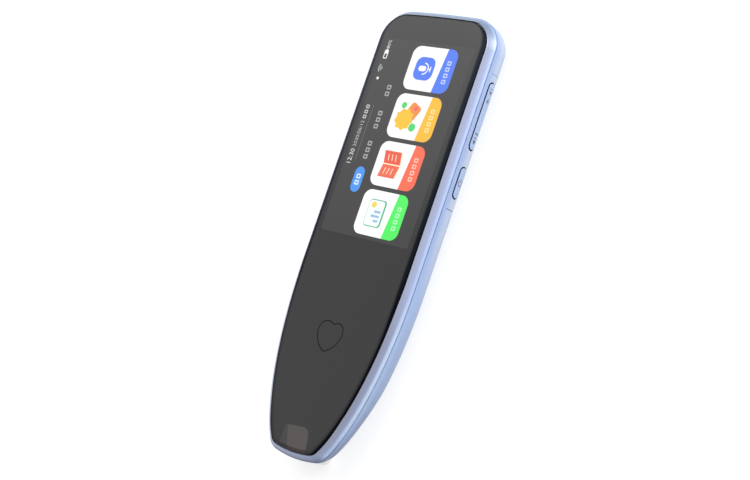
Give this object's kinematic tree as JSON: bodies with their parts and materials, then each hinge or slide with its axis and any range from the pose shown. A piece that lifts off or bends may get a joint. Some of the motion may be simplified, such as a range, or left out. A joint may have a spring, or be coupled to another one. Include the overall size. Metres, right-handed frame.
{
  "type": "scanning dictionary pen",
  "caption": "Handheld electronic dictionary with a rounded slab body, a touch screen, side keys and a scanning nose at its tapered tip.",
  "frame": {"origin": "on the flat of the back, under the middle of the pen's length and of the case's width without the keys", "axes": "+Z out of the screen, +Y away from the scanning tip, +X to the side with the keys"},
  "size_m": [0.0452, 0.1406, 0.0121],
  "materials": {
    "cover_glass": "tinted, polished",
    "display_panel": "lit liquid crystal panel",
    "display_backlight": "diffusing white",
    "home_touch_pad": "solder mask",
    "front_frame": "pearl lacquer, pale blue",
    "mid_frame": "pearl lacquer, pale blue",
    "rear_cover": "pearl lacquer, pale blue",
    "volume_rocker": "satin lacquer, pale blue",
    "power_button": "satin lacquer, pale blue",
    "volume_up_switch": "stamped",
    "volume_down_switch": "stamped",
    "power_switch": "stamped",
    "side_key_board": "solder mask",
    "main_board": "solder mask",
    "battery": "foil pouch",
    "speaker": "moulded",
    "speaker_mesh": "fine mesh",
    "camera_ring": "polished black",
    "camera_window": "coated, polished",
    "camera_module": "moulded",
    "charging_socket": "drawn shell",
    "socket_tongue": "moulded",
    "microphone": "stamped can",
    "scan_nose": "milky white",
    "scan_window": "smoked",
    "scan_light_board": "solder mask",
    "scan_camera": "moulded",
    "nose_switch": "stamped",
    "board_screw_1": "plated",
    "board_screw_2": "plated",
    "board_screw_3": "plated",
    "board_screw_4": "plated"
  },
  "bodies": {
    "case": {"cover_glass": "cover_glass", "display_panel": "display_panel", "display_backlight": "display_backlight", "home_touch_pad": "home_touch_pad", "front_frame": "front_frame", "mid_frame": "mid_frame", "rear_cover": "rear_cover", "volume_up_switch": "volume_up_switch", "volume_down_switch": "volume_down_switch", "power_switch": "power_switch", "side_key_board": "side_key_board", "main_board": "main_board", "battery": "battery", "speaker": "speaker", "speaker_mesh": "speaker_mesh", "camera_ring": "camera_ring", "camera_window": "camera_window", "camera_module": "camera_module", "charging_socket": "charging_socket", "socket_tongue": "socket_tongue", "microphone": "microphone", "scan_light_board": "scan_light_board", "scan_camera": "scan_camera", "nose_switch": "nose_switch", "board_screw_1": "board_screw_1", "board_screw_2": "board_screw_2", "board_screw_3": "board_screw_3", "board_screw_4": "board_screw_4"},
    "volume_rocker": {"volume_rocker": "volume_rocker"},
    "power_button": {"power_button": "power_button"},
    "scan_nose": {"scan_nose": "scan_nose", "scan_window": "scan_window"}
  },
  "joints": [
    {"name": "volume_rocker_tilt", "type": "hinge", "parent": "case", "child": "volume_rocker", "pos_m": [0.01965, 0.041, 0.0058], "axis": [0, 0, 1], "range_deg": [-1, 1], "stiffness_Nm_per_rad": 0.6},
    {"name": "power_button_press", "type": "slide", "parent": "case", "child": "power_button", "axis": [-1, 0, 0], "range_m": [0, 0.00025], "stiffness_N_per_m": 2000},
    {"name": "scan_nose_press", "type": "slide", "parent": "case", "child": "scan_nose", "axis": [0, 1, 0], "range_m": [0, 0.00025], "stiffness_N_per_m": 1500}
  ]
}
